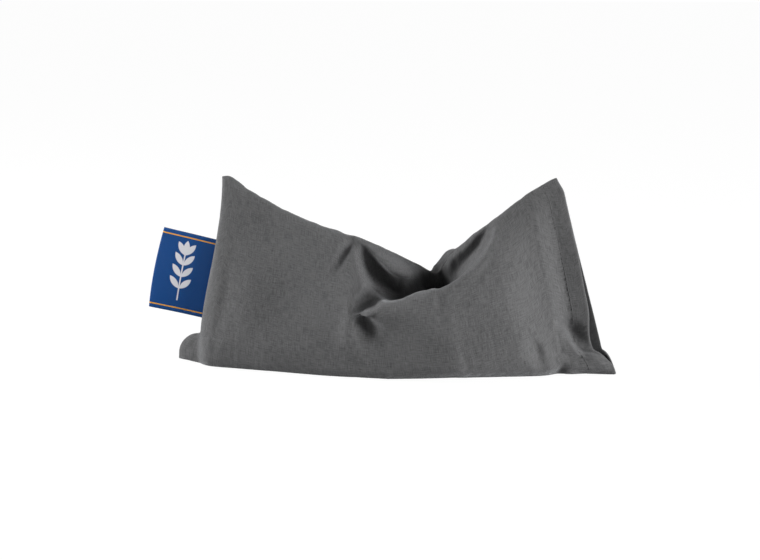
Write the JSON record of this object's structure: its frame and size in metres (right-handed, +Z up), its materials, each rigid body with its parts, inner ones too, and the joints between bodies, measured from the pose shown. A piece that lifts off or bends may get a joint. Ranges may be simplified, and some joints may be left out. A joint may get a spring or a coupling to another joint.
{
  "type": "eye pillow",
  "caption": "Small seed-filled relaxation pillow in a removable cotton slip cover with a tuck-in end, a folded woven label in its closed end seam, standing slumped on a long seam.",
  "frame": {"origin": "on the surface the pillow stands on, under the middle of its bounding box", "axes": "+X along the base seam from the closed end with the label to the open end, +Y from the folded face to the back, +Z up"},
  "size_m": [0.2354, 0.0624, 0.099],
  "materials": {
    "cover_cotton": "matte",
    "cover_thread": "matte",
    "bag_calico": "matte",
    "bag_thread": "matte",
    "linseed": "satin",
    "label_satin": "satin"
  },
  "bodies": {
    "pillow": {"cover_front_panel": "cover_cotton", "cover_back_panel": "cover_cotton", "cover_tuck_flap": "cover_cotton", "top_seam_thread": "cover_thread", "bottom_seam_thread": "cover_thread", "end_seam_thread": "cover_thread", "front_hem_thread": "cover_thread", "back_hem_thread": "cover_thread", "inner_bag_front": "bag_calico", "inner_bag_back": "bag_calico", "inner_bag_top_thread": "bag_thread", "inner_bag_bottom_thread": "bag_thread", "inner_bag_closed_end_thread": "bag_thread", "inner_bag_filling_end_thread": "bag_thread", "seed_fill": "linseed", "label_sewn_ends": "label_satin"},
    "label": {"label_loop": "label_satin"}
  },
  "joints": [
    {"name": "label_hinge", "type": "hinge", "parent": "pillow", "child": "label", "pos_m": [-0.08788, 0, 0.04314], "axis": [0.2039, 0, 0.979], "range_deg": [-60, 60], "stiffness_Nm_per_rad": 0.001}
  ]
}
